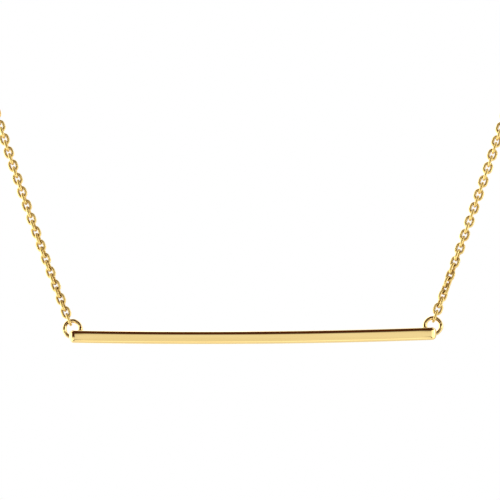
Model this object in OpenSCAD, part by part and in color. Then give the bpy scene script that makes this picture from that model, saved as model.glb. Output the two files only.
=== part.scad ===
// A bar pendant: a slim bar with a ring soldered behind each end, hung from a fine cable chain
// All sizes are in millimetres, and +Z is up, with the bar's polished face towards -Y
// The origin is on the chain's line at the back of the neck, where the necklace is held up

/* [Bar] */
// Length of the bar from end to end
bar_len = 38; // [32:1:44]
// Height of the bar's front face
bar_h = 1.3; // [1.1:0.02:1.5]
// Thickness of the bar from front to back
bar_t = 1.2; // [1:0.05:1.5]
// How far the middle of the bar hangs below the line of its ends
bar_bow = 0.27; // [0.15:0.01:0.5]
// Outside diameter of the ring soldered behind each end
ring_od = 2.1; // [2:0.02:2.3]

/* [Chain] */
// Outside width of one oval link
link_w = 1; // [0.96:0.02:1.16]

/* [Loop round the neck] */
// Half of the loop's width, from the middle of the neck to its side
half_width = 50; // [46:1:54]
// Depth of the loop from the front of the chest to the back of the neck
loop_depth = 104; // [96:1:112]
// Height of the back of the neck above the bar's end rings
drop = 118; // [108:1:128]

/* [Clasp] */
// Outside diameter of the round clasp
clasp_od = 5.5; // [5:0.1:6.5]

/* [Hidden] */
// Free space kept between two loose pieces that hang on each other
clear = 0.108;

// The bar
bar_corner_front = 0.26 * bar_h;
bar_corner_back = 0.12 * bar_h;
bar_front_r = 2.4 * bar_h;
bar_end_r = 0.72 * max(bar_h, bar_t);
bar_end_cap = 0.6 * max(bar_h, bar_t);
bow_r = bar_len * bar_len / (8 * bar_bow) + bar_bow / 2;

// The rings at the bar's ends
ring_wire = 0.42 * link_w;
ring_r = (ring_od - ring_wire) / 2;
ring_inset = 0.32;
ring_rise = 0.12;
solder_film = 0.02;
solder_r = 0.3 * link_w;
solder_in = 0.12;
solder_up = 0.06;
ring_x = bar_len / 2 - ring_inset;
ring_z = -drop;
bow_z = ring_z - ring_rise - bar_h / 2 + sqrt(bow_r * bow_r - ring_x * ring_x);

// The links
link_wire = 0.24 * link_w;
pitch = 0.744 * link_w;
link_len = pitch + 2 * link_wire + clear;
front_links = 30;

// The first link goes round the ring's thicker wire, so it is a little wider and longer
second_at = ring_r + ring_wire / 2 + clear + link_len / 2;
hook_w = ring_wire + 2 * clear + 2 * link_wire;
hook_from = ring_r - ring_wire / 2 - clear - link_wire;
hook_to = second_at - link_len / 2 + 2 * link_wire + clear;
hook_len = hook_to - hook_from;
tube_from = second_at + (front_links - 2) * pitch + link_len / 2 + clear;

// How far the links are turned about the chain's line, as they lie in the photograph
// Columns: distance from the ring's middle, and degrees
LEFT_TURN = [[2, -11], [4, -19], [8, -18], [18, -4], [24, 0]];
RIGHT_TURN = [[2, 9], [4.4, 45], [6.7, 65], [9.5, 81], [12.5, 90]];

// How far the right chain hangs aside of the plain route, as it lies in the photograph
// Columns: distance from the ring's middle, and how far to the right
RIGHT_ASIDE = [
    [0, -0.14],
    [3, -0.14],
    [7.3, -0.117],
    [11.7, -0.069],
    [16.1, 0],
    [20, 0.08],
    [28, 0.14],
    [60, 0]
];

// It passes its ring's middle on the left, so its links start a little farther along it
right_start = 0.044;
// The first link moves a little less than the others, which keeps it free on both sides
hook_share = 0.86;

// The clasp, the loop on its left and the ring that it holds on its right
loop_wire = 0.29 * link_w;
clasp_tube = 0.18 * clasp_od;
clasp_r = (clasp_od - clasp_tube) / 2;
tail_r = 0.8 * link_w;
tail_sink = 0.1;
tail_x = clasp_r + clasp_tube / 2 + loop_wire / 2 - tail_sink + tail_r;
catch_r = 1.25 * link_w;
catch_x = clasp_r - clasp_tube / 2 - clear - loop_wire / 2 + catch_r;
end_link_step = link_len / 2 - link_wire - loop_wire / 2 - clear;
left_link_x = tail_x + tail_r + end_link_step;
right_link_x = catch_x + catch_r + end_link_step;

// Where each side of the chain passes, from the bar's ring up round the neck to its back
// Columns: share of the ring's x, share of the width beyond it, share of the depth, share of the drop
ROUTE = [
    [1, -0.193, -0.007, -0.119],
    [1, 0, 0, 0],
    [1, 0.205, 0.024, 0.1525],
    [1, 0.42, 0.085, 0.34],
    [1, 0.65, 0.19, 0.54],
    [1, 0.87, 0.36, 0.74],
    [1, 1, 0.58, 0.89],
    [1, 0.86, 0.81, 0.975],
    [1, 0.36, 0.965, 1],
    [0, 0, 1, 1],
    [-1, -0.36, 0.965, 1]
];
STEPS = 16;
SPANS = len(ROUTE) - 3;

// Plain vector helpers
function unit(v) = v / norm(v);
function square_to(v, t) = unit(v - (v * t) * t);

// One point of the route, and a smooth curve through four points that follow each other
function route_point(i) = [
    ROUTE[i][0] * ring_x + ROUTE[i][1] * (half_width - ring_x),
    -loop_depth * (1 - ROUTE[i][2]),
    -drop * (1 - ROUTE[i][3])
];
function curve(a, b, c, d, t) =
    b + (c - a) * t / 2
    + (2 * a - 5 * b + 4 * c - d) * t * t / 2
    + (3 * b - a - 3 * c + d) * t * t * t / 2;
function route_at(u) =
    let (i = min(floor(u), SPANS - 1))
    curve(route_point(i), route_point(i + 1), route_point(i + 2), route_point(i + 3), u - i);

// Lengths along the route from the ring, so that pieces are set out at even distances
function hop(k) = norm(route_at(k / STEPS) - route_at((k - 1) / STEPS));
LENGTHS = [
    for (k = 0, sum = 0; k <= SPANS * STEPS; k = k + 1, sum = sum + hop(k))
        [sum, k / STEPS]
];
route_len = LENGTHS[SPANS * STEPS][0];

// A point of the chain's line at a distance from the ring, on the right (1) or the left (-1)
function chain_at(s, side) =
    let (p = route_at(lookup(s, LENGTHS)), aside = side > 0 ? lookup(s, RIGHT_ASIDE) : 0)
    [side * p[0] + aside, p[1], p[2]];
function chain_along(s, side) = unit(chain_at(s + 0.05, side) - chain_at(s - 0.05, side));
function start(side) = side > 0 ? right_start : 0;

// The rings lie where the chain's line crosses their wire, and the bar lies just in front of them
ring_y = chain_at(ring_r, 1)[1];
bar_y = ring_y - ring_wire / 2 - solder_film - bar_t / 2;

// The tubes that stand for the links beyond the front ones
TUBE_SIDES = 8;
TUBE_RINGS = 39;
tube_left_to = route_len - left_link_x - link_len / 2 - clear;
tube_right_to = route_len - right_link_x - link_len / 2 - clear;

$fn = 48;

// Turns and moves a piece drawn along +Z so that it lies along the chain's line
module lay(point, along, facing) {
    out = square_to(facing, along);
    side = cross(out, along);
    multmatrix([
        [side[0], out[0], along[0], point[0]],
        [side[1], out[1], along[1], point[1]],
        [side[2], out[2], along[2], point[2]],
        [0, 0, 0, 1]
    ])
        children();
}

// A round wire ring about the Z axis
module wire_ring(r, wire) {
    rotate_extrude()
        translate([r, 0])
            circle(d = wire);
}

// One oval link of round wire, long in Z and wide in X
module link(width, length) {
    r = (width - link_wire) / 2;
    flat = length - width;
    for (end = [0, 180])
        rotate([0, end, 0])
            translate([0, 0, flat / 2])
                rotate([90, 0, 0])
                    rotate_extrude(angle = 180)
                        translate([r, 0])
                            circle(d = link_wire);
    for (side = [-1, 1])
        translate([side * r, 0, -flat / 2])
            cylinder(d = link_wire, h = flat);
}

// The bar's cross-section, drawn with its height outwards along X and its front towards +Y
module bar_section() {
    intersection() {
        union() {
            translate([-bar_h / 2, -bar_t / 2 + bar_corner_back])
                square([bar_h, bar_t - bar_corner_back - bar_corner_front]);
            translate([-bar_h / 2 + bar_corner_back, -bar_t / 2])
                square([bar_h - 2 * bar_corner_back, bar_t / 2]);
            translate([-bar_h / 2 + bar_corner_front, 0])
                square([bar_h - 2 * bar_corner_front, bar_t / 2]);
            for (side = [-1, 1]) {
                translate([side * (bar_h / 2 - bar_corner_back), -bar_t / 2 + bar_corner_back])
                    circle(r = bar_corner_back, $fn = 48);
                translate([side * (bar_h / 2 - bar_corner_front), bar_t / 2 - bar_corner_front])
                    circle(r = bar_corner_front, $fn = 48);
            }
        }
        translate([0, bar_t / 2 - bar_front_r])
            circle(r = bar_front_r, $fn = 240);
    }
}

// The bar without its rings, bowed down in the middle and softened at both ends
module bar_body() {
    half_angle = asin((bar_len / 2 + bar_end_cap) / bow_r);
    end_z = bow_z - sqrt(bow_r * bow_r - bar_len * bar_len / 4);
    difference() {
        translate([0, bar_y, bow_z])
            rotate([90, 0, 0])
                rotate([0, 0, -90 - half_angle])
                    rotate_extrude(angle = 2 * half_angle, $fn = 3600)
                        translate([bow_r, 0])
                            bar_section();
        for (side = [-1, 1])
            translate([side * bar_len / 2, bar_y, end_z])
                difference() {
                    translate([side * bar_end_cap / 2, 0, 0])
                        cube([3 * bar_end_cap, 2 * bar_t, 2 * bar_h], center = true);
                    translate([-side * bar_end_r, 0, 0])
                        rotate([0, 0, 90 + 90 * side])
                            sphere(r = bar_end_r);
                }
    }
}

// The bar and the two rings soldered behind its ends are one piece of metal
module bar() {
    color("gold") {
        bar_body();
        for (side = [-1, 1]) {
            translate([side * ring_x, ring_y, ring_z])
                rotate([90, 0, 0])
                    wire_ring(ring_r, ring_wire);
            translate([side * (ring_x - solder_in), bar_y + bar_t / 4, ring_z - ring_r + solder_up])
                rotate([-90, 0, 0])
                    cylinder(r = solder_r, h = bar_t / 4 + solder_film + 0.7 * ring_wire);
        }
    }
}

// The loose links nearest the bar, each a quarter turn from the one before
module front_links(side, turns) {
    hook_at = hook_share * start(side) + (hook_from + hook_to) / 2;
    lay(chain_at(hook_at, side), chain_along(hook_at, side), [0, -1, 0])
        rotate([0, 0, 90])
            link(hook_w, hook_len);
    for (i = [1:front_links - 1]) {
        s = start(side) + second_at + (i - 1) * pitch;
        lay(chain_at(s, side), chain_along(s, side), [0, -1, 0])
            rotate([0, 0, 90 + 90 * i + lookup(s, turns)])
                link(link_w, link_len);
    }
}

module front_links_left() {
    color("gold")
        front_links(-1, LEFT_TURN);
}

module front_links_right() {
    color("gold")
        front_links(1, RIGHT_TURN);
}

// A closed tube along the chain's line, which stands for the links on the way round the neck
module chain_tube(side, to) {
    from = start(side) + tube_from;
    points = [
        for (j = [0:TUBE_RINGS])
            let (
                s = from + j * (to - from) / TUBE_RINGS,
                p = chain_at(s, side),
                t = chain_along(s, side),
                out = square_to([p[0], p[1] + loop_depth / 2, 0], t),
                up = cross(t, out)
            )
            for (k = [0:TUBE_SIDES - 1])
                let (a = 360 * k / TUBE_SIDES)
                p + link_w / 2 * (cos(a) * out + sin(a) * up)
    ];
    walls = [
        for (j = [0:TUBE_RINGS - 1])
            for (k = [0:TUBE_SIDES - 1])
                let (a = j * TUBE_SIDES + k, b = j * TUBE_SIDES + (k + 1) % TUBE_SIDES)
                each [[a, a + TUBE_SIDES, b], [b, a + TUBE_SIDES, b + TUBE_SIDES]]
    ];
    last = TUBE_RINGS * TUBE_SIDES;
    ends = [
        [for (k = [0:TUBE_SIDES - 1]) k],
        [for (k = [0:TUBE_SIDES - 1]) last + TUBE_SIDES - 1 - k]
    ];
    polyhedron(points, concat(walls, ends));
}

module chain_left() {
    color("gold") {
        chain_tube(-1, tube_left_to);
        lay([-left_link_x, 0, 0], [1, 0, 0], [0, -1, 0])
            link(link_w, link_len);
    }
}

module chain_right() {
    color("gold") {
        chain_tube(1, tube_right_to);
        lay([right_link_x, 0, 0], [-1, 0, 0], [0, -1, 0])
            link(link_w, link_len);
    }
}

// The round clasp lies flat against the neck, with its small loop soldered on
module clasp() {
    color("gold") {
        rotate([90, 0, 0])
            wire_ring(clasp_r, clasp_tube);
        translate([-tail_x, 0, 0])
            wire_ring(tail_r, loop_wire);
    }
}

// The loose ring at the other end of the chain, closed round the clasp
module catch_ring() {
    color("gold")
        translate([catch_x, 0, 0])
            wire_ring(catch_r, loop_wire);
}

bar();
front_links_left();
front_links_right();
chain_left();
chain_right();
clasp();
catch_ring();
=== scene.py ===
"""Bar pendant: the looks of a slim gold bar hung by two soldered rings from a fine cable chain."""

import math

import bmesh
import bpy
from bpy.props import FloatProperty, FloatVectorProperty, IntProperty, PointerProperty
from mathutils import Matrix, Vector


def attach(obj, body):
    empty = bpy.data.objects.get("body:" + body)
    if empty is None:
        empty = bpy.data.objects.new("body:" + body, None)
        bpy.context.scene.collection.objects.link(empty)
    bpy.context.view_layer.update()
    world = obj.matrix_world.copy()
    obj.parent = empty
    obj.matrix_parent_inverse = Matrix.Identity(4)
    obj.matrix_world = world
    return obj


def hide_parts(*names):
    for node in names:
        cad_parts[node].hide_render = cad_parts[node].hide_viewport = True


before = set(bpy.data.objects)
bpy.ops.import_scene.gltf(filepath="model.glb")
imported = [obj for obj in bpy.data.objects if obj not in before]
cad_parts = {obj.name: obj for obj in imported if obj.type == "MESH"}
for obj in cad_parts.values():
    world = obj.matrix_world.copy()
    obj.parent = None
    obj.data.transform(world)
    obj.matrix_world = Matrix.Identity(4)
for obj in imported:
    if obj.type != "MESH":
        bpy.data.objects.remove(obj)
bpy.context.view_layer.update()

bl_info = {
    "name": "Bar Pendant Necklace",
    "version": (1, 0, 0),
    "blender": (4, 5, 0),
    "location": "3D View > Sidebar > Necklace",
    "description": "Builds a bar pendant on a cable chain, piece by piece, with its gold finishes",
    "category": "Object",
}

BODY = "root"

# Where each side of the chain passes, from the bar's ring up round the neck to its back
# Columns: share of the ring's x, share of the width beyond it, share of the depth, share of the drop
ROUTE = (
    (1, -0.193, -0.007, -0.119),
    (1, 0, 0, 0),
    (1, 0.205, 0.024, 0.1525),
    (1, 0.42, 0.085, 0.34),
    (1, 0.65, 0.19, 0.54),
    (1, 0.87, 0.36, 0.74),
    (1, 1, 0.58, 0.89),
    (1, 0.86, 0.81, 0.975),
    (1, 0.36, 0.965, 1),
    (0, 0, 1, 1),
    (-1, -0.36, 0.965, 1),
)
ROUTE_STEPS = 16

# How far the links are turned about the chain's line: metres from the ring, and degrees
LEFT_TURN = ((0.002, -11), (0.004, -19), (0.008, -18), (0.018, -4), (0.024, 0))
RIGHT_TURN = ((0.002, 9), (0.0044, 45), (0.0067, 65), (0.0095, 81), (0.0125, 90))

# How far the right chain hangs aside of the plain route: metres from the ring, and to the right
RIGHT_ASIDE = (
    (0.0, -0.00014),
    (0.003, -0.00014),
    (0.0073, -0.000117),
    (0.0117, -0.000069),
    (0.0161, 0.0),
    (0.02, 0.00008),
    (0.028, 0.00014),
    (0.06, 0.0),
)
# It passes its ring's middle on the left, so its links start a little farther along it
RIGHT_START = 0.000044
# The first link moves a little less than the others, which keeps it free on both sides
HOOK_SHARE = 0.86

# How far the bar's rings stand off its back, which solder bridges
SOLDER_FILM = 0.00002
# From a ring's outside to half a pitch short of the second link's middle
SECOND_LINK_GAP = 0.000428

# The bar's rounded end: the angle of each row round the end's arc, in degrees
END_ROWS = (8, 16, 24, 32, 40, 48, 56, 63, 70, 76, 82, 87)
# The rounding of the end's silhouette, as a share of the bar's height
END_CORNER = 0.357
# The rows of the crowned face, as shares of the bar's height, and the steps along the bow
FACE_ROWS = (-0.2, -0.1, 0.0, 0.1, 0.2)
BOW_STEPS = 32

# Steps round half of a link's end, and sides of its wire
HOOK_STEPS = (14, 12)
FRONT_LINK_STEPS = (12, 12)
NECK_LINK_STEPS = (5, 6)

# Half sizes of the pools of solder: at the bar's ends, at the rings' feet and at the clasp's loop
END_POOL = (0.00042, 0.0003, 0.00034)
FOOT_POOL = (0.00032, 0.00026, 0.0002)
LOOP_POOL = (0.00016, 0.00032, 0.00026)

# The clasp's two joints and its lever, in degrees round its ring, and the lever's sizes
JOINTS_AT = (-20, 55)
JOINT_GROOVE = 0.00004
LEVER_AT = 30
LEVER_RADIUS = 0.00022
LEVER_LENGTH = 0.0004
LEVER_ROUND = 0.00006
# Where the catch ring is soldered shut, in degrees round it
CATCH_JOINT_AT = 70

# Painted shade where the pieces touch or pass close by, standing for the shadow between them: its
# colour, how far from them it reaches, and how shut in it is
PAINTED_SHADE_COLOUR = (0.28, 0.095, 0.006)
PAINTED_SHADE_REACH = 0.0004
SEAT_SHADE = (0.2, 0.55)
# The painted shade is darkest near the bar: the heights where it is at its most and its least, and
# how much
SEAT_HEIGHTS = (-0.117, -0.104)
SEAT_SHADE_NEAR_BAR = 0.22

# The studio that the gold mirrors, in degrees: where each part starts and ends, and how soft it is
# These are counted away from the camera
CREST = (9, 116, 4)
SHOULDERS = (5, 84, 4)
KNEES = (9, 48, 4)
# This one is counted from straight up, to either side
KNEE_SIDES = (114, 156, 6)
# These are counted round the bar, with right above zero
LEFT_WING = (-60, -8, 4)
LEFT_STRIP = (-150, -68, 5)
RIGHT_STRIP = (72, 94, 4)
# From here on, two numbers are where a part starts to fade or to rise and where it has done so
# These are counted from straight up, to either side
CREST_SIDES = (12, 26)
SHOULDER_SIDES = (62, 88)
BEHIND_SIDES = (50, 80)
# These are counted away from the camera: the brighter light all round it, and behind the necklace
AROUND = (14, 36)
BEHIND = (108, 132)
# This one is counted round the bar: the dimmer light on the far right
FAR_RIGHT = (96, 110)
# These are shares of the way up: the feet of the wing and the right strip, and where all fade
WING_FOOT = (-0.034, -0.016)
STRIP_FOOT = (-0.032, -0.012)
TOPS = (0.25, 0.45)
# The colours of the light and dark parts, and how much brighter or dimmer some parts are
LIGHT_PART = (0.88, 0.88, 0.88, 1)
DARK_PART = (0.045, 0.012, 0.003, 1)
STRIP_GLOW = 2.4
LEFT_STRIP_SHARE = 0.35
BEHIND_GLOW = 0.6
AROUND_GLOW = 0.65
FAR_RIGHT_LOSS = 0.8

# The camera's place to the side and its height, its aim before the rings' plane, and its roll
CAMERA_SIDE = -0.00021
CAMERA_AIM = 0.0008
CAMERA_HEIGHT = -0.10997
CAMERA_ROLL = 0.47


def length_size(name, about, value):
    """One length of the add-on's panel, in metres."""
    return FloatProperty(
        name=name, description=about, default=value, min=0, unit="LENGTH", precision=5
    )


def tint(name, about, value):
    """One colour of the add-on's panel."""
    return FloatVectorProperty(
        name=name, description=about, default=value, subtype="COLOR", size=3, min=0, max=1
    )


class BarSizes(bpy.types.PropertyGroup):
    """Sizes of the bar and of its two rings"""

    length: length_size("Length", "Length of the bar from end to end", 0.038)
    height: length_size("Height", "Height of the bar's polished face", 0.0013)
    thickness: length_size("Thickness", "Thickness of the bar from front to back", 0.0012)
    bow: length_size("Bow", "How far the middle hangs below the ends", 0.00027)
    crown: length_size("Crown", "How far the middle of the face stands proud", 0.000012)
    front_round: length_size("Front round", "Radius of the two long front edges", 0.0003)
    back_round: length_size("Back round", "Radius of the two long back edges", 0.00015)
    end_round: length_size("End round", "Radius of the bar's ends, seen from above", 0.0006)
    ring_across: length_size("Ring", "Outside diameter of each end ring", 0.0021)
    ring_wire: length_size("Ring wire", "Thickness of the rings' wire", 0.00042)
    ring_inset: length_size("Ring inset", "Distance of a ring's middle from the bar's end", 0.00032)
    ring_rise: length_size("Ring rise", "Height of a ring's middle above the bar's top", 0.00012)


class ChainSizes(bpy.types.PropertyGroup):
    """Sizes of the links and of the loop round the neck"""

    link_width: length_size("Link width", "Outside width of one oval link", 0.00104)
    link_wire: length_size("Link wire", "Thickness of the links' wire", 0.0003)
    pitch: length_size("Pitch", "Distance from one link to the next", 0.000744)
    hook_width: length_size("First link", "Outside width of the link in the bar's ring", 0.00108)
    front_links: IntProperty(
        name="Front links", description="Links of the finely made stretch", default=30, min=2
    )
    half_width: length_size("Half width", "Half of the loop's width", 0.05)
    loop_depth: length_size("Depth", "Depth of the loop from chest to nape", 0.104)
    drop: length_size("Drop", "Height of the nape above the bar's rings", 0.118)


class ClaspSizes(bpy.types.PropertyGroup):
    """Sizes of the clasp and of the ring that it holds"""

    across: length_size("Clasp", "Outside diameter of the round clasp", 0.0055)
    tube: length_size("Tube", "Thickness of the clasp's tube", 0.00099)
    loop_wire: length_size("Loop wire", "Thickness of the small loops' wire", 0.00029)
    tail_radius: length_size("Tail loop", "Radius of the loop soldered to the clasp", 0.0008)
    catch_radius: length_size("Catch ring", "Radius of the loose ring", 0.00125)


class GoldFinish(bpy.types.PropertyGroup):
    """Colours of the gold"""

    bar_colour: tint("Bar", "Colour of the bar's gold", (1.0, 0.766, 0.336))
    chain_colour: tint("Chain", "Colour of the links' gold", (1.0, 0.775, 0.30))
    solder_colour: tint("Solder", "Colour of the soldered joints", (1.0, 0.78, 0.40))


class StageSizes(bpy.types.PropertyGroup):
    """Sizes of the floor and of the camera's view"""

    floor_radius: length_size("Floor", "Radius of the pale floor", 0.5)
    floor_drop: length_size("Floor drop", "Height of the nape above the floor", 0.5)
    view_width: length_size("View width", "Width of what the camera shows", 0.05175)
    view_from: length_size("View distance", "Distance from the camera to the bar", 0.6)


# Working in edit mode


def start_clean():
    """Leaves edit mode with nothing selected, so that an operator acts on its own piece alone."""
    if bpy.context.mode != "OBJECT":
        bpy.ops.object.mode_set(mode="OBJECT")
    bpy.ops.object.select_all(action="DESELECT")


def edit(piece):
    """Opens one piece in edit mode, with nothing in it selected."""
    start_clean()
    bpy.context.view_layer.objects.active = piece
    piece.select_set(True)
    bpy.ops.object.mode_set(mode="EDIT")
    bpy.ops.mesh.select_all(action="DESELECT")


def pick(kind, test):
    """Selects the vertices, edges or faces of the open piece whose middle passes a test."""
    bpy.ops.mesh.select_mode(type=kind)
    bpy.ops.mesh.select_all(action="DESELECT")
    mesh = bpy.context.object.data
    shape = bmesh.from_edit_mesh(mesh)
    for item in {"VERT": shape.verts, "EDGE": shape.edges, "FACE": shape.faces}[kind]:
        if test(item):
            item.select_set(True)
    shape.select_flush_mode()
    bmesh.update_edit_mesh(mesh)


def middle(item):
    """The middle of an edge or face."""
    points = [v.co for v in item.verts]
    return sum(points, Vector()) / len(points)


def close_up(gap=1e-6):
    """Merges the open piece's doubles and turns its faces outwards."""
    bpy.ops.mesh.select_all(action="SELECT")
    bpy.ops.mesh.remove_doubles(threshold=gap)
    bpy.ops.mesh.normals_make_consistent(inside=False)
    bpy.ops.object.mode_set(mode="OBJECT")


def join(pieces, name):
    """Makes one named piece of several, smooth and with its place in its mesh."""
    start_clean()
    for piece in pieces:
        piece.select_set(True)
    bpy.context.view_layer.objects.active = pieces[0]
    if len(pieces) > 1:
        bpy.ops.object.join()
    bpy.ops.object.transform_apply(location=True, rotation=True, scale=True)
    bpy.ops.object.shade_smooth()
    piece = bpy.context.object
    piece.name = name
    piece.data.name = name
    return piece


def keep(piece, node):
    """Lets a finished piece stand for its CAD node."""
    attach(piece, BODY)
    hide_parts(node)


# The chain's line


def looked_up(s, table):
    """The value of a table at a distance from the ring, evenly between its rows."""
    before = table[0]
    for after in table:
        if after[0] > s:
            share = (s - before[0]) / max(1e-9, after[0] - before[0])
            return before[1] + (after[1] - before[1]) * max(0.0, share)
        before = after
    return before[1]


class ChainLine:
    """One side of the chain's line, as the CAD part lays it: right is 1 and left is -1."""

    def __init__(self, side):
        chain = bpy.context.scene.necklace_chain
        bar = bpy.context.scene.necklace_bar
        self.side = side
        ring_x = bar.length / 2 - bar.ring_inset
        beyond = chain.half_width - ring_x
        self.points = [
            Vector(
                (
                    row[0] * ring_x + row[1] * beyond,
                    -chain.loop_depth * (1 - row[2]),
                    -chain.drop * (1 - row[3]),
                )
            )
            for row in ROUTE
        ]
        self.spans = len(ROUTE) - 3
        self.lengths = [0.0]
        for k in range(1, self.spans * ROUTE_STEPS + 1):
            hop = self.route_at(k / ROUTE_STEPS) - self.route_at((k - 1) / ROUTE_STEPS)
            self.lengths.append(self.lengths[-1] + hop.length)
        self.whole = self.lengths[-1]

    def route_at(self, u):
        """The plain route of the right side, smooth through its rows."""
        i = min(int(u), self.spans - 1)
        a, b, c, d = self.points[i : i + 4]
        t = u - i
        return (
            b
            + (c - a) * t / 2
            + (2 * a - 5 * b + 4 * c - d) * t * t / 2
            + (3 * b - a - 3 * c + d) * t * t * t / 2
        )

    def at(self, s):
        """The point at a distance from the ring."""
        k = 1
        while k < len(self.lengths) - 1 and self.lengths[k] < s:
            k += 1
        share = (s - self.lengths[k - 1]) / (self.lengths[k] - self.lengths[k - 1])
        p = self.route_at(max(0.0, (k - 1 + share) / ROUTE_STEPS))
        aside = looked_up(s, RIGHT_ASIDE) if self.side > 0 else 0.0
        return Vector((self.side * p.x + aside, p.y, p.z))

    def along(self, s):
        """The direction of the line at a distance from the ring."""
        return (self.at(s + 0.00005) - self.at(s - 0.00005)).normalized()


def square_to(v, t):
    """A direction made square to another."""
    return (v - v.dot(t) * t).normalized()


def laid(point, along, out, roll):
    """The place of a link drawn along Z: its length along the line, then rolled about it."""
    side = out.cross(along)
    frame_axes = Matrix((side, out, along)).transposed().to_4x4()
    return Matrix.Translation(point) @ frame_axes @ Matrix.Rotation(roll, 4, "Z")


def ring_plane():
    """How far forward the bar's rings lie: where the chain's line crosses their wire."""
    bar = bpy.context.scene.necklace_bar
    return ChainLine(1).at((bar.ring_across - bar.ring_wire) / 2).y


# Shapes of wire


def wire_ring(radius, wire, steps, sides, place):
    """A ring of round wire about Y, spun from its circle, and then put in its place."""
    start_clean()
    bpy.ops.mesh.primitive_circle_add(
        vertices=sides, radius=wire / 2, location=(radius, 0, 0), rotation=(0, 0, 0)
    )
    bpy.ops.object.transform_apply(location=True, rotation=True, scale=True)
    ring = bpy.context.object
    edit(ring)
    bpy.ops.mesh.select_all(action="SELECT")
    bpy.ops.mesh.spin(
        steps=steps, angle=2 * math.pi, center=(0, 0, 0), axis=(0, 1, 0), dupli=False
    )
    close_up(wire / 50)
    ring.data.transform(place)
    return ring


def oval_link(width, length, wire, steps, sides):
    """One oval link of round wire, long in Z and wide in X."""
    radius = (width - wire) / 2
    flat = length - width
    start_clean()
    bpy.ops.mesh.primitive_circle_add(
        vertices=sides, radius=wire / 2, location=(radius, 0, flat / 2)
    )
    bpy.ops.object.transform_apply(location=True, rotation=True, scale=True)
    link = bpy.context.object
    edit(link)
    bpy.ops.mesh.select_all(action="SELECT")
    for end in (1, -1):
        bpy.ops.mesh.spin(
            steps=steps, angle=math.pi, center=(0, 0, end * flat / 2), axis=(0, 1, 0)
        )
        bpy.ops.mesh.extrude_region_move(
            TRANSFORM_OT_translate={"value": (0, 0, -end * flat)}
        )
    close_up(wire / 50)
    return link


def lay_links(master, places, name):
    """Copies a link to each place, each copy with its own mesh, and joins them as one piece."""
    made = []
    for place in places:
        link = master.copy()
        link.data = master.data.copy()
        link.data.transform(place)
        bpy.context.collection.objects.link(link)
        made.append(link)
    return join(made, name)


def remove(piece):
    """Takes away a piece that was only a pattern for others."""
    mesh = piece.data
    bpy.data.objects.remove(piece)
    bpy.data.meshes.remove(mesh)


# Finishes


def group_socket(group, name, in_out, kind, value=None):
    """Adds one named input or output to a node group."""
    made = group.interface.new_socket(name=name, in_out=in_out, socket_type=kind)
    if value is not None:
        made.default_value = value
    return made


def worked_gold():
    """Colour, roughness and height of gold that has been drawn, buffed and worn a little."""
    name = "Worked gold"
    if name in bpy.data.node_groups:
        return bpy.data.node_groups[name]
    group = bpy.data.node_groups.new(name, "ShaderNodeTree")
    group_socket(group, "Place", "INPUT", "NodeSocketVector")
    group_socket(group, "Gold", "INPUT", "NodeSocketColor", (1, 0.77, 0.34, 1))
    group_socket(group, "Deeper", "INPUT", "NodeSocketColor", (0.95, 0.68, 0.25, 1))
    group_socket(group, "Cloud size", "INPUT", "NodeSocketFloat", 500.0)
    group_socket(group, "Scratch size", "INPUT", "NodeSocketFloat", 9000.0)
    group_socket(group, "Smooth", "INPUT", "NodeSocketFloat", 0.06)
    group_socket(group, "Dull", "INPUT", "NodeSocketFloat", 0.16)
    group_socket(group, "Colour", "OUTPUT", "NodeSocketColor")
    group_socket(group, "Roughness", "OUTPUT", "NodeSocketFloat")
    group_socket(group, "Height", "OUTPUT", "NodeSocketFloat")
    nodes = group.nodes
    links = group.links
    take = nodes.new("NodeGroupInput")
    give = nodes.new("NodeGroupOutput")
    cloud = nodes.new("ShaderNodeTexNoise")
    cloud.inputs["Detail"].default_value = 3.0
    scratch = nodes.new("ShaderNodeTexNoise")
    scratch.inputs["Detail"].default_value = 4.0
    scratch.inputs["Roughness"].default_value = 0.65
    links.new(take.outputs["Place"], cloud.inputs["Vector"])
    links.new(take.outputs["Cloud size"], cloud.inputs["Scale"])
    links.new(take.outputs["Place"], scratch.inputs["Vector"])
    links.new(take.outputs["Scratch size"], scratch.inputs["Scale"])
    spread = nodes.new("ShaderNodeMapRange")
    spread.inputs["From Min"].default_value = 0.35
    spread.inputs["From Max"].default_value = 0.65
    links.new(cloud.outputs["Fac"], spread.inputs["Value"])
    blend = nodes.new("ShaderNodeMix")
    blend.data_type = "RGBA"
    links.new(spread.outputs["Result"], blend.inputs["Factor"])
    links.new(take.outputs["Gold"], blend.inputs["A"])
    links.new(take.outputs["Deeper"], blend.inputs["B"])
    links.new(blend.outputs["Result"], give.inputs["Colour"])
    both = nodes.new("ShaderNodeMath")
    both.operation = "MULTIPLY"
    links.new(spread.outputs["Result"], both.inputs[0])
    links.new(scratch.outputs["Fac"], both.inputs[1])
    dulled = nodes.new("ShaderNodeMapRange")
    links.new(both.outputs["Value"], dulled.inputs["Value"])
    links.new(take.outputs["Smooth"], dulled.inputs["To Min"])
    links.new(take.outputs["Dull"], dulled.inputs["To Max"])
    links.new(dulled.outputs["Result"], give.inputs["Roughness"])
    links.new(scratch.outputs["Fac"], give.inputs["Height"])
    return group


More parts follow.
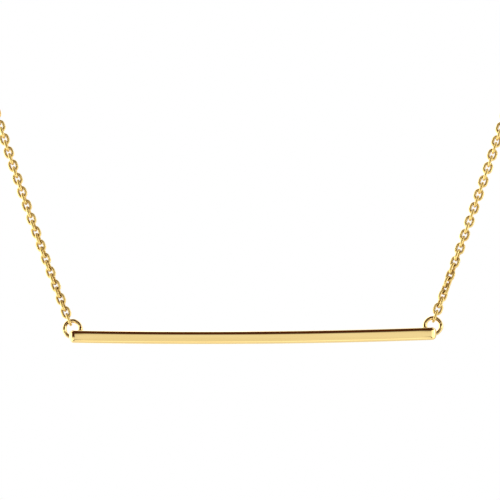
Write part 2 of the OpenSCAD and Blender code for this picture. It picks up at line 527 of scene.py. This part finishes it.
def painted_seat_shade():
    """Painted shade: deeper colour where wires touch or pass close by, where shadow falls between
    them.
    """
    name = "Dulled seats"
    if name in bpy.data.node_groups:
        return bpy.data.node_groups[name]
    group = bpy.data.node_groups.new(name, "ShaderNodeTree")
    group_socket(group, "Colour", "INPUT", "NodeSocketColor", (1, 0.77, 0.34, 1))
    group_socket(group, "Shade colour", "INPUT", "NodeSocketColor", (0.3, 0.12, 0.02, 1))
    group_socket(group, "Reach", "INPUT", "NodeSocketFloat", 0.0003)
    group_socket(group, "Place", "INPUT", "NodeSocketVector")
    group_socket(group, "Colour", "OUTPUT", "NodeSocketColor")
    nodes = group.nodes
    links = group.links
    take = nodes.new("NodeGroupInput")
    give = nodes.new("NodeGroupOutput")
    # Painted shade from how shut in each point is: the closer other wires are, the nearer the colour
    # goes to the shade colour
    shut = nodes.new("ShaderNodeAmbientOcclusion")
    shut.samples = 8
    links.new(take.outputs["Reach"], shut.inputs["Distance"])
    free = nodes.new("ShaderNodeMapRange")
    free.inputs["From Min"].default_value = SEAT_SHADE[0]
    free.inputs["From Max"].default_value = SEAT_SHADE[1]
    split = nodes.new("ShaderNodeSeparateXYZ")
    links.new(take.outputs["Place"], split.inputs["Vector"])
    # The painted shade is stronger low down, near the bar
    shade_near_bar = nodes.new("ShaderNodeMapRange")
    shade_near_bar.inputs["From Min"].default_value = SEAT_HEIGHTS[0]
    shade_near_bar.inputs["From Max"].default_value = SEAT_HEIGHTS[1]
    shade_near_bar.inputs["To Min"].default_value = SEAT_SHADE_NEAR_BAR
    shade_near_bar.inputs["To Max"].default_value = 0.0
    links.new(split.outputs["Z"], shade_near_bar.inputs["Value"])
    less = nodes.new("ShaderNodeMath")
    less.operation = "SUBTRACT"
    links.new(shut.outputs["AO"], less.inputs[0])
    links.new(shade_near_bar.outputs["Result"], less.inputs[1])
    links.new(less.outputs["Value"], free.inputs["Value"])
    blend = nodes.new("ShaderNodeMix")
    blend.data_type = "RGBA"
    links.new(free.outputs["Result"], blend.inputs["Factor"])
    links.new(take.outputs["Shade colour"], blend.inputs["A"])
    links.new(take.outputs["Colour"], blend.inputs["B"])
    links.new(blend.outputs["Result"], give.inputs["Colour"])
    return group


def gold(name, colour, deeper, stretch, cloud, scratch, smooth, dull, depth):
    """One gold finish: a metal shader fed by the worked gold group, read along the piece."""
    if name in bpy.data.materials:
        return bpy.data.materials[name]
    material = bpy.data.materials.new(name)
    material.use_nodes = True
    nodes = material.node_tree.nodes
    links = material.node_tree.links
    shader = nodes["Principled BSDF"]
    shader.inputs["Metallic"].default_value = 1.0
    where = nodes.new("ShaderNodeTexCoord")
    mapping = nodes.new("ShaderNodeMapping")
    mapping.inputs["Scale"].default_value = stretch
    surface = nodes.new("ShaderNodeGroup")
    surface.node_tree = worked_gold()
    surface.inputs["Gold"].default_value = (*colour, 1)
    surface.inputs["Deeper"].default_value = (*deeper, 1)
    surface.inputs["Cloud size"].default_value = cloud
    surface.inputs["Scratch size"].default_value = scratch
    surface.inputs["Smooth"].default_value = smooth
    surface.inputs["Dull"].default_value = dull
    bump = nodes.new("ShaderNodeBump")
    bump.inputs["Strength"].default_value = 1.0
    bump.inputs["Distance"].default_value = depth
    links.new(where.outputs["Object"], mapping.inputs["Vector"])
    links.new(mapping.outputs["Vector"], surface.inputs["Place"])
    # Painted shade between touching pieces, mixed into the gold's base colour
    seats = nodes.new("ShaderNodeGroup")
    seats.node_tree = painted_seat_shade()
    seats.inputs["Shade colour"].default_value = (*PAINTED_SHADE_COLOUR, 1)
    seats.inputs["Reach"].default_value = PAINTED_SHADE_REACH
    links.new(where.outputs["Object"], seats.inputs["Place"])
    links.new(surface.outputs["Colour"], seats.inputs["Colour"])
    links.new(seats.outputs["Colour"], shader.inputs["Base Color"])
    links.new(surface.outputs["Roughness"], shader.inputs["Roughness"])
    links.new(surface.outputs["Height"], bump.inputs["Height"])
    links.new(bump.outputs["Normal"], shader.inputs["Normal"])
    return material


def darker(colour, share):
    """A deeper and slightly warmer tone of a gold colour."""
    return (colour[0] * share, colour[1] * share * 0.97, colour[2] * share * 0.9)


def bar_gold():
    """Bright gold, buffed lengthwise, for the bar and its rings."""
    colour = bpy.context.scene.necklace_gold.bar_colour
    return gold(
        "Buffed bar gold", colour, darker(colour, 0.95), stretch=(0.04, 1, 1),
        cloud=2500.0, scratch=16000.0, smooth=0.05, dull=0.11, depth=1e-7,
    )


def wire_gold():
    """Duller gold of drawn wire, for the links."""
    colour = bpy.context.scene.necklace_gold.chain_colour
    return gold(
        "Drawn chain gold", colour, darker(colour, 0.9), stretch=(1, 1, 1),
        cloud=700.0, scratch=12000.0, smooth=0.50, dull=0.60, depth=6e-7,
    )


def solder_gold():
    """Paler, rougher gold of the soldered joints."""
    colour = bpy.context.scene.necklace_gold.solder_colour
    return gold(
        "Solder gold", colour, darker(colour, 0.88), stretch=(1, 1, 1),
        cloud=3000.0, scratch=9000.0, smooth=0.16, dull=0.32, depth=2e-6,
    )


def clasp_gold():
    """Gold of the clasp, worn a little by use."""
    colour = bpy.context.scene.necklace_gold.chain_colour
    return gold(
        "Clasp gold", colour, darker(colour, 0.93), stretch=(1, 1, 1),
        cloud=400.0, scratch=7000.0, smooth=0.07, dull=0.17, depth=8e-7,
    )


# The pieces


def end_height(beyond):
    """Half the bar's height at a distance beyond its straight body: the silhouette of its end."""
    bar = bpy.context.scene.necklace_bar
    corner = END_CORNER * bar.height
    reach = min(corner, bar.end_round - beyond)
    return bar.height / 2 - corner + math.sqrt(corner**2 - (corner - reach) ** 2)


def bar_body():
    """The bar's own metal: a block with a crowned face, rounded edges and ends, then bowed."""
    bar = bpy.context.scene.necklace_bar
    straight = bar.length - 2 * bar.end_round
    start_clean()
    bpy.ops.mesh.primitive_cube_add(size=1, location=(0, 0, 0))
    body = bpy.context.object
    body.scale = (straight, bar.thickness, bar.height)
    bpy.ops.object.transform_apply(location=True, rotation=True, scale=True)
    front = -bar.thickness / 2
    edit(body)
    for share in FACE_ROWS:
        bpy.ops.mesh.select_all(action="SELECT")
        bpy.ops.mesh.bisect(plane_co=(0, 0, share * bar.height), plane_no=(0, 0, 1))
    pick("VERT", lambda v: v.co.y < front * 0.99 and abs(v.co.z) < bar.height * 0.01)
    bpy.ops.transform.translate(
        value=(0, -bar.crown, 0),
        use_proportional_edit=True,
        proportional_edit_falloff="INVERSE_SQUARE",
        proportional_size=bar.height / 2,
    )
    edge = bar.height / 2 * 0.99
    pick(
        "EDGE",
        lambda e: middle(e).y < front * 0.99
        and abs(middle(e).z) > edge
        and abs(middle(e).x) < straight * 0.1,
    )
    bpy.ops.mesh.bevel(offset=bar.front_round, segments=10, profile=0.5, affect="EDGES")
    pick(
        "EDGE",
        lambda e: middle(e).y > -front * 0.99
        and abs(middle(e).z) > edge
        and abs(middle(e).x) < straight * 0.1,
    )
    bpy.ops.mesh.bevel(offset=bar.back_round, segments=4, profile=0.5, affect="EDGES")
    for side in (-1, 1):
        start = side * straight / 2
        pick("FACE", lambda f: all(abs(v.co.x - start) < 1e-7 for v in f.verts))
        bpy.ops.mesh.dissolve_faces()
        gone = 0.0
        left = (1.0, 1.0)
        for degrees in END_ROWS:
            beyond = bar.end_round * math.sin(math.radians(degrees))
            thick = math.cos(math.radians(degrees))
            high = end_height(beyond) / end_height(0)
            bpy.ops.mesh.extrude_region_move(
                TRANSFORM_OT_translate={"value": (side * (beyond - gone), 0, 0)}
            )
            bpy.ops.transform.resize(
                value=(1, thick / left[0], high / left[1]), center_override=(start, 0, 0)
            )
            gone = beyond
            left = (thick, high)
        bpy.ops.mesh.poke()
    for step in range(1 - BOW_STEPS // 2, BOW_STEPS // 2):
        bpy.ops.mesh.select_all(action="SELECT")
        bpy.ops.mesh.bisect(plane_co=(step * straight / BOW_STEPS, 0, 0), plane_no=(1, 0, 0))
    close_up(1e-8)
    edit(body)
    pick("VERT", lambda v: abs(v.co.x) < 1e-6)
    bpy.ops.transform.translate(
        value=(0, 0, -bar.bow),
        use_proportional_edit=True,
        proportional_edit_falloff="INVERSE_SQUARE",
        proportional_size=bar.length / 2,
    )
    bpy.ops.object.mode_set(mode="OBJECT")
    return body


def end_ring(side, plane_y):
    """A ring of thick wire, swollen a little where solder holds it against the bar's back."""
    bar = bpy.context.scene.necklace_bar
    chain = bpy.context.scene.necklace_chain
    radius = (bar.ring_across - bar.ring_wire) / 2
    ring = wire_ring(radius, bar.ring_wire, 64, 20, Matrix.Identity(4))
    foot_z = -bar.ring_rise
    foot_x = math.sqrt(radius**2 - foot_z**2)
    edit(ring)
    for foot in (-1, 1):
        swell(Vector((foot * foot_x, 0, foot_z)), bar.ring_wire, 1.15, bar.ring_wire * 0.9)
    close_up(1e-7)
    ring.data.transform(
        Matrix.Translation((side * (bar.length / 2 - bar.ring_inset), plane_y, -chain.drop))
    )
    return ring


def swell(at, wire, share, reach):
    """Thickens the open ring round one place of its wire, as solder does."""
    pick("VERT", lambda v: (v.co - at).length < wire * 0.52)
    bpy.ops.transform.resize(
        value=(share, share, share),
        center_override=at,
        use_proportional_edit=True,
        proportional_edit_falloff="SMOOTH",
        proportional_size=reach,
    )


def solder_pool(centre, size, lean):
    """A low rounded pool of solder, drawn out of a ball and settled towards one side."""
    start_clean()
    bpy.ops.mesh.primitive_uv_sphere_add(segments=24, ring_count=12, radius=1)
    pool = bpy.context.object
    edit(pool)
    pick("VERT", lambda v: v.co.z > 0.9)
    bpy.ops.transform.translate(
        value=(lean, 0, -0.12),
        use_proportional_edit=True,
        proportional_edit_falloff="SMOOTH",
        proportional_size=1.4,
    )
    close_up(1e-6)
    pool.data.transform(Matrix.Translation(centre) @ Matrix.Diagonal((*size, 1)))
    return pool


class NECKLACE_OT_make_bar(bpy.types.Operator):
    """Make the bar with a ring soldered behind each end"""

    bl_idname = "necklace.make_bar"
    bl_label = "Bar and rings"

    def execute(self, context):
        bar = context.scene.necklace_bar
        chain = context.scene.necklace_chain
        ring_x = bar.length / 2 - bar.ring_inset
        ring_y = ring_plane()
        bar_y = ring_y - bar.ring_wire / 2 - SOLDER_FILM - bar.thickness / 2
        bow_radius = bar.length**2 / (8 * bar.bow) + bar.bow / 2
        sag = bow_radius - math.sqrt(bow_radius**2 - ring_x**2)
        centre_z = -chain.drop - bar.ring_rise - bar.height / 2 - sag
        body = bar_body()
        lowest = min(v.co.z for v in body.data.vertices)
        body.data.transform(
            Matrix.Translation((0, bar_y, centre_z - bar.height / 2 - lowest))
        )
        body.data.materials.append(bar_gold())
        parts = [body]
        for side in (-1, 1):
            ring = end_ring(side, ring_y)
            ring.data.materials.append(bar_gold())
            radius = (bar.ring_across - bar.ring_wire) / 2
            pool = solder_pool(
                (side * (ring_x - 0.00010), ring_y - 0.0001, -chain.drop - radius + 0.0001),
                END_POOL,
                0.1 * side,
            )
            pool.data.materials.append(solder_gold())
            parts += [ring, pool]
            foot_x = math.sqrt(radius**2 - bar.ring_rise**2)
            for foot in (-1, 1):
                if side * foot > 0:
                    continue
                fillet = solder_pool(
                    (
                        side * ring_x + foot * (foot_x - 0.00002),
                        ring_y - 0.0001,
                        -chain.drop - bar.ring_rise - 0.00008,
                    ),
                    FOOT_POOL,
                    0.0,
                )
                fillet.data.materials.append(solder_gold())
                parts.append(fillet)
        piece = join(parts, "gold_bar")
        keep(piece, "bar")
        return {"FINISHED"}


def second_link_at(side):
    """How far from the ring's middle the second link lies, resting on the first one."""
    bar = bpy.context.scene.necklace_bar
    reach = bar.ring_across / 2 + SECOND_LINK_GAP + bpy.context.scene.necklace_chain.pitch / 2
    return reach + (RIGHT_START if side > 0 else 0.0)


def front_turn(side, s):
    """How far the links are turned about the chain's line at a distance from the ring."""
    return math.radians(looked_up(s, LEFT_TURN if side < 0 else RIGHT_TURN))


class NECKLACE_OT_make_front_chains(bpy.types.Operator):
    """Make the finely modelled links on both sides, which hang in the bar's rings"""

    bl_idname = "necklace.make_front_chains"
    bl_label = "Front links"

    def execute(self, context):
        bar = context.scene.necklace_bar
        chain = context.scene.necklace_chain
        length = chain.pitch + 2 * chain.link_wire
        ring_r = (bar.ring_across - bar.ring_wire) / 2
        hook_from = ring_r - bar.ring_wire / 2 - chain.link_wire
        hook_to = second_link_at(-1) - length / 2 + 2 * chain.link_wire
        hook = oval_link(chain.hook_width, hook_to - hook_from, chain.link_wire, *HOOK_STEPS)
        master = oval_link(chain.link_width, length, chain.link_wire, *FRONT_LINK_STEPS)
        hook.data.materials.append(wire_gold())
        master.data.materials.append(wire_gold())
        for side, node in ((-1, "front_links_left"), (1, "front_links_right")):
            line = ChainLine(side)
            facing = Vector((0, -1, 0))
            second_at = second_link_at(side)
            places = []
            for i in range(1, chain.front_links):
                s = second_at + (i - 1) * chain.pitch
                along = line.along(s)
                roll = math.radians(90 + 90 * i) + front_turn(side, s)
                places.append(laid(line.at(s), along, square_to(facing, along), roll))
            piece = lay_links(master, places, node + "_gold")
            s = (hook_from + hook_to) / 2 + HOOK_SHARE * (second_at - second_link_at(-1))
            along = line.along(s)
            first = lay_links(
                hook,
                [laid(line.at(s), along, square_to(facing, along), math.radians(90))],
                "hook",
            )
            piece = join([piece, first], node + "_gold")
            keep(piece, node)
        remove(hook)
        remove(master)
        return {"FINISHED"}


def clasp_places():
    """Where the clasp's loop, the catch ring and the two end links lie on the X axis."""
    clasp = bpy.context.scene.necklace_clasp
    chain = bpy.context.scene.necklace_chain
    radius = (clasp.across - clasp.tube) / 2
    tail_x = radius + clasp.tube / 2 + clasp.loop_wire / 2 - 0.0001 + clasp.tail_radius
    catch_x = radius - clasp.tube / 2 - 0.000108 - clasp.loop_wire / 2 + clasp.catch_radius
    step = chain.pitch / 2 - clasp.loop_wire / 2
    return {
        "radius": radius,
        "tail": tail_x,
        "catch": catch_x,
        -1: tail_x + clasp.tail_radius + step,
        1: catch_x + clasp.catch_radius + step,
    }


class NECKLACE_OT_make_neck_chains(bpy.types.Operator):
    """Make the links on both sides that go on round the neck to the clasp"""

    bl_idname = "necklace.make_neck_chains"
    bl_label = "Neck links"

    def execute(self, context):
        chain = context.scene.necklace_chain
        length = chain.pitch + 2 * chain.link_wire
        master = oval_link(chain.link_width, length, chain.link_wire, *NECK_LINK_STEPS)
        master.data.materials.append(wire_gold())
        ends = clasp_places()
        for side, node in ((-1, "chain_left"), (1, "chain_right")):
            line = ChainLine(side)
            start = second_link_at(side) + (chain.front_links - 2) * chain.pitch
            finish = line.whole - ends[side]
            count = round((finish - start) / chain.pitch)
            pace = (finish - start) / count
            along = line.along(start)
            out = square_to(Vector((0, -1, 0)), along)
            roll = math.radians(90 + 90 * (chain.front_links - 1)) + front_turn(side, start)
            spots = []
            for i in range(1, count + 1):
                s = start + i * pace
                ahead = line.along(s)
                out = square_to(ahead.rotation_difference(along).inverted() @ out, ahead)
                along = ahead
                roll += math.pi / 2
                spots.append([line.at(s), along, out, roll])
            spots[-1][0] = Vector((side * ends[side], 0, 0))
            point, along, out, roll = spots[-1]
            wide = math.cos(roll) * out.cross(along) + math.sin(roll) * out
            off = wide.angle(Vector((0, 0, 1)))
            if wide.cross(Vector((0, 0, 1))).dot(along) < 0:
                off = -off
            off = (off + math.pi / 2) % math.pi - math.pi / 2
            places = [
                laid(p, a, o, r + off * (i + 1) / count) for i, (p, a, o, r) in enumerate(spots)
            ]
            piece = lay_links(master, places, node + "_gold")
            keep(piece, node)
        remove(master)
        return {"FINISHED"}


class NECKLACE_OT_make_clasp(bpy.types.Operator):
    """Make the round clasp with its sliding tongue's joints, its small lever and its loop"""

    bl_idname = "necklace.make_clasp"
    bl_label = "Clasp"

    def execute(self, context):
        clasp = context.scene.necklace_clasp
        places = clasp_places()
        radius = places["radius"]
        body = wire_ring(radius, clasp.tube, 72, 24, Matrix.Identity(4))
        edit(body)
        for turn in JOINTS_AT:
            angle = math.radians(turn)
            at = Vector((radius * math.cos(angle), 0, radius * math.sin(angle)))
            across = Vector((-math.sin(angle), 0, math.cos(angle)))
            bpy.ops.mesh.select_all(action="SELECT")
            bpy.ops.mesh.bisect(plane_co=at, plane_no=across)
            near = clasp.tube * 0.6
            pick(
                "EDGE",
                lambda e: all(
                    abs((v.co - at).dot(across)) < 1e-7 and (v.co - at).length < near
                    for v in e.verts
                ),
            )
            bpy.ops.mesh.bevel(offset=JOINT_GROOVE, segments=2, affect="EDGES")
            pick(
                "VERT",
                lambda v: abs((v.co - at).dot(across)) < 1e-7 and (v.co - at).length < near,
            )
            bpy.ops.transform.resize(value=(0.93, 0.93, 0.93), center_override=at)
        close_up(1e-7)
        angle = math.radians(LEVER_AT)
        start_clean()
        bpy.ops.mesh.primitive_cylinder_add(
            vertices=20, radius=LEVER_RADIUS, depth=LEVER_LENGTH
        )
        lever = bpy.context.object
        edit(lever)
        pick("FACE", lambda f: middle(f).z > LEVER_LENGTH * 0.49)
        bpy.ops.mesh.bevel(offset=LEVER_ROUND, segments=3, affect="EDGES")
        close_up(1e-7)
        reach = radius + clasp.tube / 2 + 0.00012
        lever.data.transform(
            Matrix.Translation((reach * math.cos(angle), 0, reach * math.sin(angle)))
            @ Matrix.Rotation(math.pi / 2 - angle, 4, "Y")
        )
        tail = wire_ring(
            clasp.tail_radius, clasp.loop_wire, 40, 12,
            Matrix.Translation((-places["tail"], 0, 0)) @ Matrix.Rotation(math.pi / 2, 4, "X"),
        )
        for part in (body, lever, tail):
            part.data.materials.append(clasp_gold())
        pool = solder_pool((-radius - clasp.tube / 2 - 0.00006, 0, 0), LOOP_POOL, 0.0)
        pool.data.materials.append(solder_gold())
        piece = join([body, lever, tail, pool], "round_clasp")
        keep(piece, "clasp")
        return {"FINISHED"}


class NECKLACE_OT_make_catch_ring(bpy.types.Operator):
    """Make the loose ring that the clasp closes round, with its soldered joint"""

    bl_idname = "necklace.make_catch_ring"
    bl_label = "Catch ring"

    def execute(self, context):
        clasp = context.scene.necklace_clasp
        places = clasp_places()
        ring = wire_ring(
            clasp.catch_radius, clasp.loop_wire, 56, 14,
            Matrix.Rotation(math.pi / 2, 4, "X"),
        )
        angle = math.radians(CATCH_JOINT_AT)
        at = Vector(
            (clasp.catch_radius * math.cos(angle), clasp.catch_radius * math.sin(angle), 0)
        )
        edit(ring)
        swell(at, clasp.loop_wire, 1.1, clasp.loop_wire)
        close_up(1e-7)
        ring.data.transform(Matrix.Translation((places["catch"], 0, 0)))
        ring.data.materials.append(clasp_gold())
        piece = join([ring], "loose_catch_ring")
        keep(piece, "catch_ring")
        return {"FINISHED"}


# The stage


def studio_light():
    """Even white light all round, with darker and brighter parts that only metal mirrors."""
    scene = bpy.context.scene
    world = bpy.data.worlds.new("Soft studio")
    scene.world = world
    world.use_nodes = True
    nodes = world.node_tree.nodes
    links = world.node_tree.links
    nodes.clear()
    out = nodes.new("ShaderNodeOutputWorld")
    where = nodes.new("ShaderNodeTexCoord")
    split = nodes.new("ShaderNodeSeparateXYZ")
    links.new(where.outputs["Generated"], split.inputs["Vector"])

    def rise(source, low, high):
        made = nodes.new("ShaderNodeMapRange")
        made.interpolation_type = "SMOOTHSTEP"
        made.inputs["From Min"].default_value = low
        made.inputs["From Max"].default_value = high
        links.new(source, made.inputs["Value"])
        return made.outputs["Result"]

    def work_out(operation, a, b=None):
        made = nodes.new("ShaderNodeMath")
        made.operation = operation
        for socket, value in zip(made.inputs, (a, b)):
            if isinstance(value, float):
                socket.default_value = value
            elif value is not None:
                links.new(value, socket)
        return made.outputs["Value"]

    def between(angle, start, end, soft):
        """One inside a span of degrees, and nothing outside it."""
        begun = rise(angle, math.radians(start - soft), math.radians(start + soft))
        over = rise(angle, math.radians(end - soft), math.radians(end + soft))
        return work_out("SUBTRACT", begun, over)

    def falling(source, low, high):
        return work_out("SUBTRACT", 1.0, rise(source, low, high))

    def fading(angle, span):
        """One until a number of degrees, and nothing after another."""
        return falling(angle, *map(math.radians, span))

    x, z = split.outputs["X"], split.outputs["Z"]
    ahead = work_out("MULTIPLY", split.outputs["Y"], -1.0)
    away = work_out("ARCCOSINE", ahead)
    turn = work_out("ARCTAN2", x, ahead)
    bearing = work_out("ABSOLUTE", work_out("ARCTAN2", x, z))
    low = falling(z, *TOPS)
    crest = work_out("MULTIPLY", between(away, *CREST), fading(bearing, CREST_SIDES))
    shoulders = work_out("MULTIPLY", between(away, *SHOULDERS), fading(bearing, SHOULDER_SIDES))
    knees = work_out("MULTIPLY", between(away, *KNEES), between(bearing, *KNEE_SIDES))
    wing = work_out("MULTIPLY", between(turn, *LEFT_WING), low)
    wing = work_out("MULTIPLY", wing, rise(z, *WING_FOOT))
    dark = work_out("MAXIMUM", crest, shoulders)
    dark = work_out("MAXIMUM", dark, knees)
    dark = work_out("MAXIMUM", dark, wing)
    level = nodes.new("ShaderNodeMix")
    level.data_type = "RGBA"
    level.inputs["A"].default_value = LIGHT_PART
    level.inputs["B"].default_value = DARK_PART
    links.new(dark, level.inputs["Factor"])
    strip = work_out("MULTIPLY", between(turn, *RIGHT_STRIP), low)
    strip = work_out("MULTIPLY", strip, rise(z, *STRIP_FOOT))
    left_strip = work_out("MULTIPLY", between(turn, *LEFT_STRIP), low)
    strip = work_out("ADD", strip, work_out("MULTIPLY", left_strip, LEFT_STRIP_SHARE))
    far_side = rise(turn, *map(math.radians, FAR_RIGHT))
    behind = rise(away, *map(math.radians, BEHIND))
    behind = work_out("MULTIPLY", behind, fading(bearing, BEHIND_SIDES))
    around = rise(away, *map(math.radians, AROUND))
    strength = work_out("ADD", work_out("MULTIPLY", strip, STRIP_GLOW), 1.0)
    strength = work_out("ADD", strength, work_out("MULTIPLY", behind, BEHIND_GLOW))
    strength = work_out("ADD", strength, work_out("MULTIPLY", around, AROUND_GLOW))
    strength = work_out("SUBTRACT", strength, work_out("MULTIPLY", far_side, FAR_RIGHT_LOSS))
    mirrored = nodes.new("ShaderNodeBackground")
    links.new(level.outputs["Result"], mirrored.inputs["Color"])
    links.new(strength, mirrored.inputs["Strength"])
    even = nodes.new("ShaderNodeBackground")
    even.inputs["Color"].default_value = (1, 1, 1, 1)
    path = nodes.new("ShaderNodeLightPath")
    choose = nodes.new("ShaderNodeMixShader")
    links.new(path.outputs["Is Glossy Ray"], choose.inputs["Fac"])
    links.new(even.outputs["Background"], choose.inputs[1])
    links.new(mirrored.outputs["Background"], choose.inputs[2])
    links.new(choose.outputs["Shader"], out.inputs["Surface"])
    scene.view_settings.view_transform = "Standard"
    scene.view_settings.look = "None"
    scene.view_settings.exposure = 0.0
    scene.view_settings.gamma = 1.0


def pale_floor():
    """A plain pale floor, small and low so that the metal doesn't mirror it from the front."""
    stage = bpy.context.scene.necklace_stage
    start_clean()
    bpy.ops.mesh.primitive_circle_add(
        vertices=96, radius=stage.floor_radius, fill_type="NGON", location=(0, 0, -stage.floor_drop)
    )
    bpy.ops.object.transform_apply(location=True, rotation=True, scale=True)
    floor = bpy.context.object
    floor.name = "pale_floor"
    material = bpy.data.materials.new("Pale floor")
    material.use_nodes = True
    shader = material.node_tree.nodes["Principled BSDF"]
    shader.inputs["Base Color"].default_value = (0.9, 0.9, 0.9, 1)
    shader.inputs["Roughness"].default_value = 0.9
    shader.inputs["Specular IOR Level"].default_value = 0.1
    floor.data.materials.append(material)


def photo_camera():
    """The camera, level with the bar and straight in front of it, as in the photograph."""
    scene = bpy.context.scene
    stage = scene.necklace_stage
    bar_y = ring_plane() - CAMERA_AIM
    data = bpy.data.cameras.new("Photo camera")
    camera = bpy.data.objects.new("Photo camera", data)
    scene.collection.objects.link(camera)
    data.sensor_width = 36.0
    data.lens = 36.0 * stage.view_from / stage.view_width
    data.clip_start = 0.01
    data.clip_end = 20.0
    camera.location = (CAMERA_SIDE, bar_y - stage.view_from, CAMERA_HEIGHT)
    camera.rotation_euler = (math.radians(90), math.radians(CAMERA_ROLL), 0)
    scene.camera = camera


class NECKLACE_OT_make_stage(bpy.types.Operator):
    """Set up the pale floor, the soft light and the camera"""

    bl_idname = "necklace.make_stage"
    bl_label = "Stage"

    def execute(self, context):
        studio_light()
        pale_floor()
        photo_camera()
        return {"FINISHED"}


class NECKLACE_PT_pieces(bpy.types.Panel):
    """The necklace's sizes, finishes and pieces"""

    bl_idname = "NECKLACE_PT_pieces"
    bl_label = "Bar pendant"
    bl_space_type = "VIEW_3D"
    bl_region_type = "UI"
    bl_category = "Necklace"

    def draw(self, context):
        layout = self.layout
        for owner in GROUPS:
            box = layout.box()
            box.label(text=owner[0].replace("necklace_", "").capitalize())
            group = getattr(context.scene, owner[0])
            for name in owner[1].__annotations__:
                box.prop(group, name)
        column = layout.column(align=True)
        for operator in OPERATORS:
            column.operator(operator.bl_idname)


GROUPS = (
    ("necklace_bar", BarSizes),
    ("necklace_chain", ChainSizes),
    ("necklace_clasp", ClaspSizes),
    ("necklace_gold", GoldFinish),
    ("necklace_stage", StageSizes),
)
OPERATORS = (
    NECKLACE_OT_make_stage,
    NECKLACE_OT_make_bar,
    NECKLACE_OT_make_front_chains,
    NECKLACE_OT_make_neck_chains,
    NECKLACE_OT_make_clasp,
    NECKLACE_OT_make_catch_ring,
)


def register():
    """Adds the sizes, the operators and the panel."""
    for name, group in GROUPS:
        bpy.utils.register_class(group)
        setattr(bpy.types.Scene, name, PointerProperty(type=group))
    for operator in OPERATORS:
        bpy.utils.register_class(operator)
    bpy.utils.register_class(NECKLACE_PT_pieces)


def unregister():
    """Takes them away again."""
    bpy.utils.unregister_class(NECKLACE_PT_pieces)
    for operator in reversed(OPERATORS):
        bpy.utils.unregister_class(operator)
    for name, group in reversed(GROUPS):
        delattr(bpy.types.Scene, name)
        bpy.utils.unregister_class(group)


def main():
    """Makes every piece in order."""
    register()
    bpy.ops.necklace.make_stage()
    bpy.ops.necklace.make_bar()
    bpy.ops.necklace.make_front_chains()
    bpy.ops.necklace.make_neck_chains()
    bpy.ops.necklace.make_clasp()
    bpy.ops.necklace.make_catch_ring()
    start_clean()


if __name__ == "__main__":
    main()
